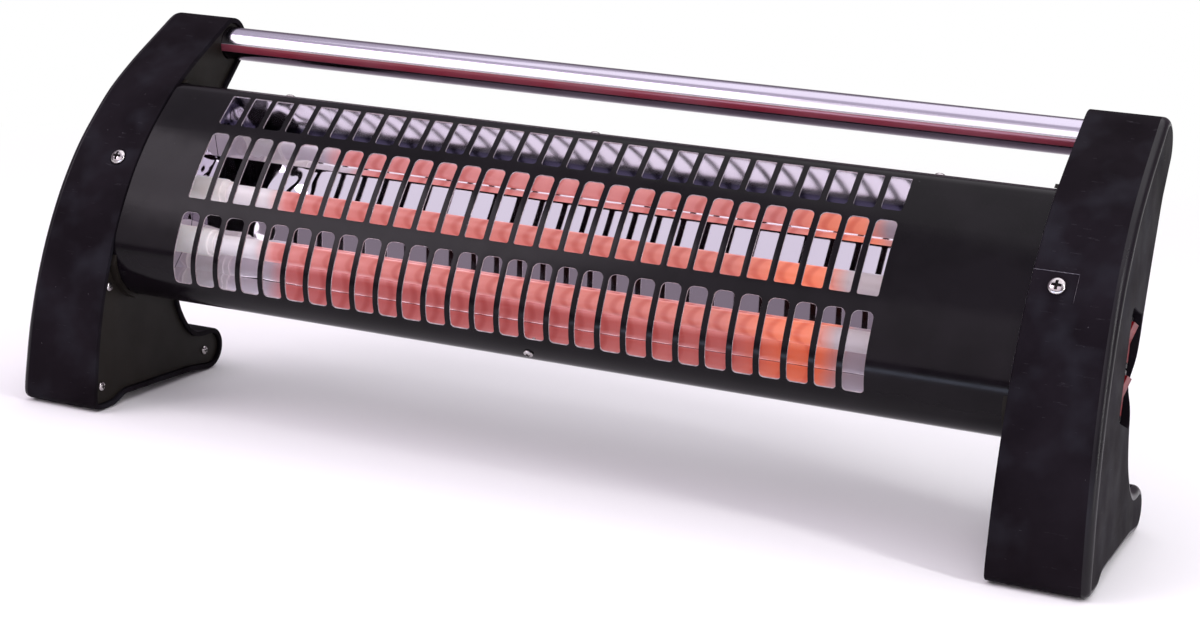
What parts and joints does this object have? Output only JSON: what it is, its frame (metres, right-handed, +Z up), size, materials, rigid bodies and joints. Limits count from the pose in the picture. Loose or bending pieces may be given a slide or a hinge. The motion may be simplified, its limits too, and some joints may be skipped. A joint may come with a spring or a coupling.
{
  "type": "infrared heater",
  "caption": "Free-standing infrared room heater with glowing quartz tubes behind a slotted front, plastic side legs and a chromed carrying handle.",
  "frame": {"origin": "middle of the heater at the level of the floor it stands on", "axes": "+X along the heater towards the leg with the switches, -Y to the front where it glows, +Z up"},
  "size_m": [0.5428, 0.1342, 0.188],
  "materials": {
    "shell_plastic": "satin charcoal black, faintly mottled",
    "cover_plastic": "matt brown black",
    "black_enamel": "glossy black enamel",
    "polished_sheet": "polished",
    "chromed_tube": "bright chrome",
    "quartz": "milky quartz, lit from inside",
    "coil_wire": "glowing",
    "ceramic": "white, unglazed",
    "screw_steel": "bright",
    "zinc_sheet": "dull zinc",
    "rubber": "matt",
    "red_rocker": "clear dark red",
    "switch_plastic": "black",
    "white_plastic": "off-white",
    "wire_sleeve": "woven glass sleeve"
  },
  "bodies": {
    "heater": {"leg_shell_right": "shell_plastic", "inner_cover_right": "cover_plastic", "body_end_right": "zinc_sheet", "reflector_end_right": "polished_sheet", "strip_screw_right": "screw_steel", "cover_screw_right_1": "screw_steel", "cover_screw_right_2": "screw_steel", "cover_screw_right_3": "screw_steel", "foot_pad_toe_right": "rubber", "foot_pad_heel_right": "rubber", "end_cap_upper_right": "ceramic", "end_cap_lower_right": "ceramic", "switch_housing_upper": "switch_plastic", "switch_housing_lower": "switch_plastic", "tip_switch_case": "white_plastic", "terminal_block": "ceramic", "cord_gland": "rubber", "wire_upper": "wire_sleeve", "wire_lower": "wire_sleeve", "wire_feed": "wire_sleeve", "leg_shell_left": "shell_plastic", "inner_cover_left": "cover_plastic", "body_end_left": "zinc_sheet", "reflector_end_left": "polished_sheet", "strip_screw_left": "screw_steel", "cover_screw_left_1": "screw_steel", "cover_screw_left_2": "screw_steel", "cover_screw_left_3": "screw_steel", "foot_pad_toe_left": "rubber", "foot_pad_heel_left": "rubber", "end_cap_upper_left": "ceramic", "end_cap_lower_left": "ceramic", "wire_jumper": "wire_sleeve", "front_sheet": "black_enamel", "back_panel": "black_enamel", "reflector": "polished_sheet", "handle_tube": "chromed_tube", "lower_screw": "screw_steel", "quartz_tube_upper": "quartz", "quartz_tube_lower": "quartz", "heating_coil_upper": "coil_wire", "heating_coil_lower": "coil_wire", "wire_return": "wire_sleeve", "case_screw_bottom_1": "screw_steel", "case_screw_bottom_2": "screw_steel", "case_screw_bottom_3": "screw_steel", "case_screw_top_1": "screw_steel", "case_screw_top_2": "screw_steel", "case_screw_top_3": "screw_steel"},
    "upper_rocker": {"switch_rocker_upper": "red_rocker"},
    "lower_rocker": {"switch_rocker_lower": "red_rocker"},
    "tip_weight": {"tip_pendulum": "zinc_sheet"}
  },
  "joints": [
    {"name": "upper_rocker_press", "type": "hinge", "parent": "heater", "child": "upper_rocker", "pos_m": [0.26191, -0.00013, 0.09754], "axis": [0.0153, 0.9396, -0.3421], "range_deg": [-18, 0]},
    {"name": "lower_rocker_press", "type": "hinge", "parent": "heater", "child": "lower_rocker", "pos_m": [0.26289, -0.00814, 0.07558], "axis": [0.0153, 0.9396, -0.3421], "range_deg": [-18, 0]},
    {"name": "tip_weight_swing", "type": "hinge", "parent": "heater", "child": "tip_weight", "pos_m": [0.23525, -0.02714, 0.0358], "axis": [1, 0, 0], "range_deg": [-20, 20]}
  ]
}
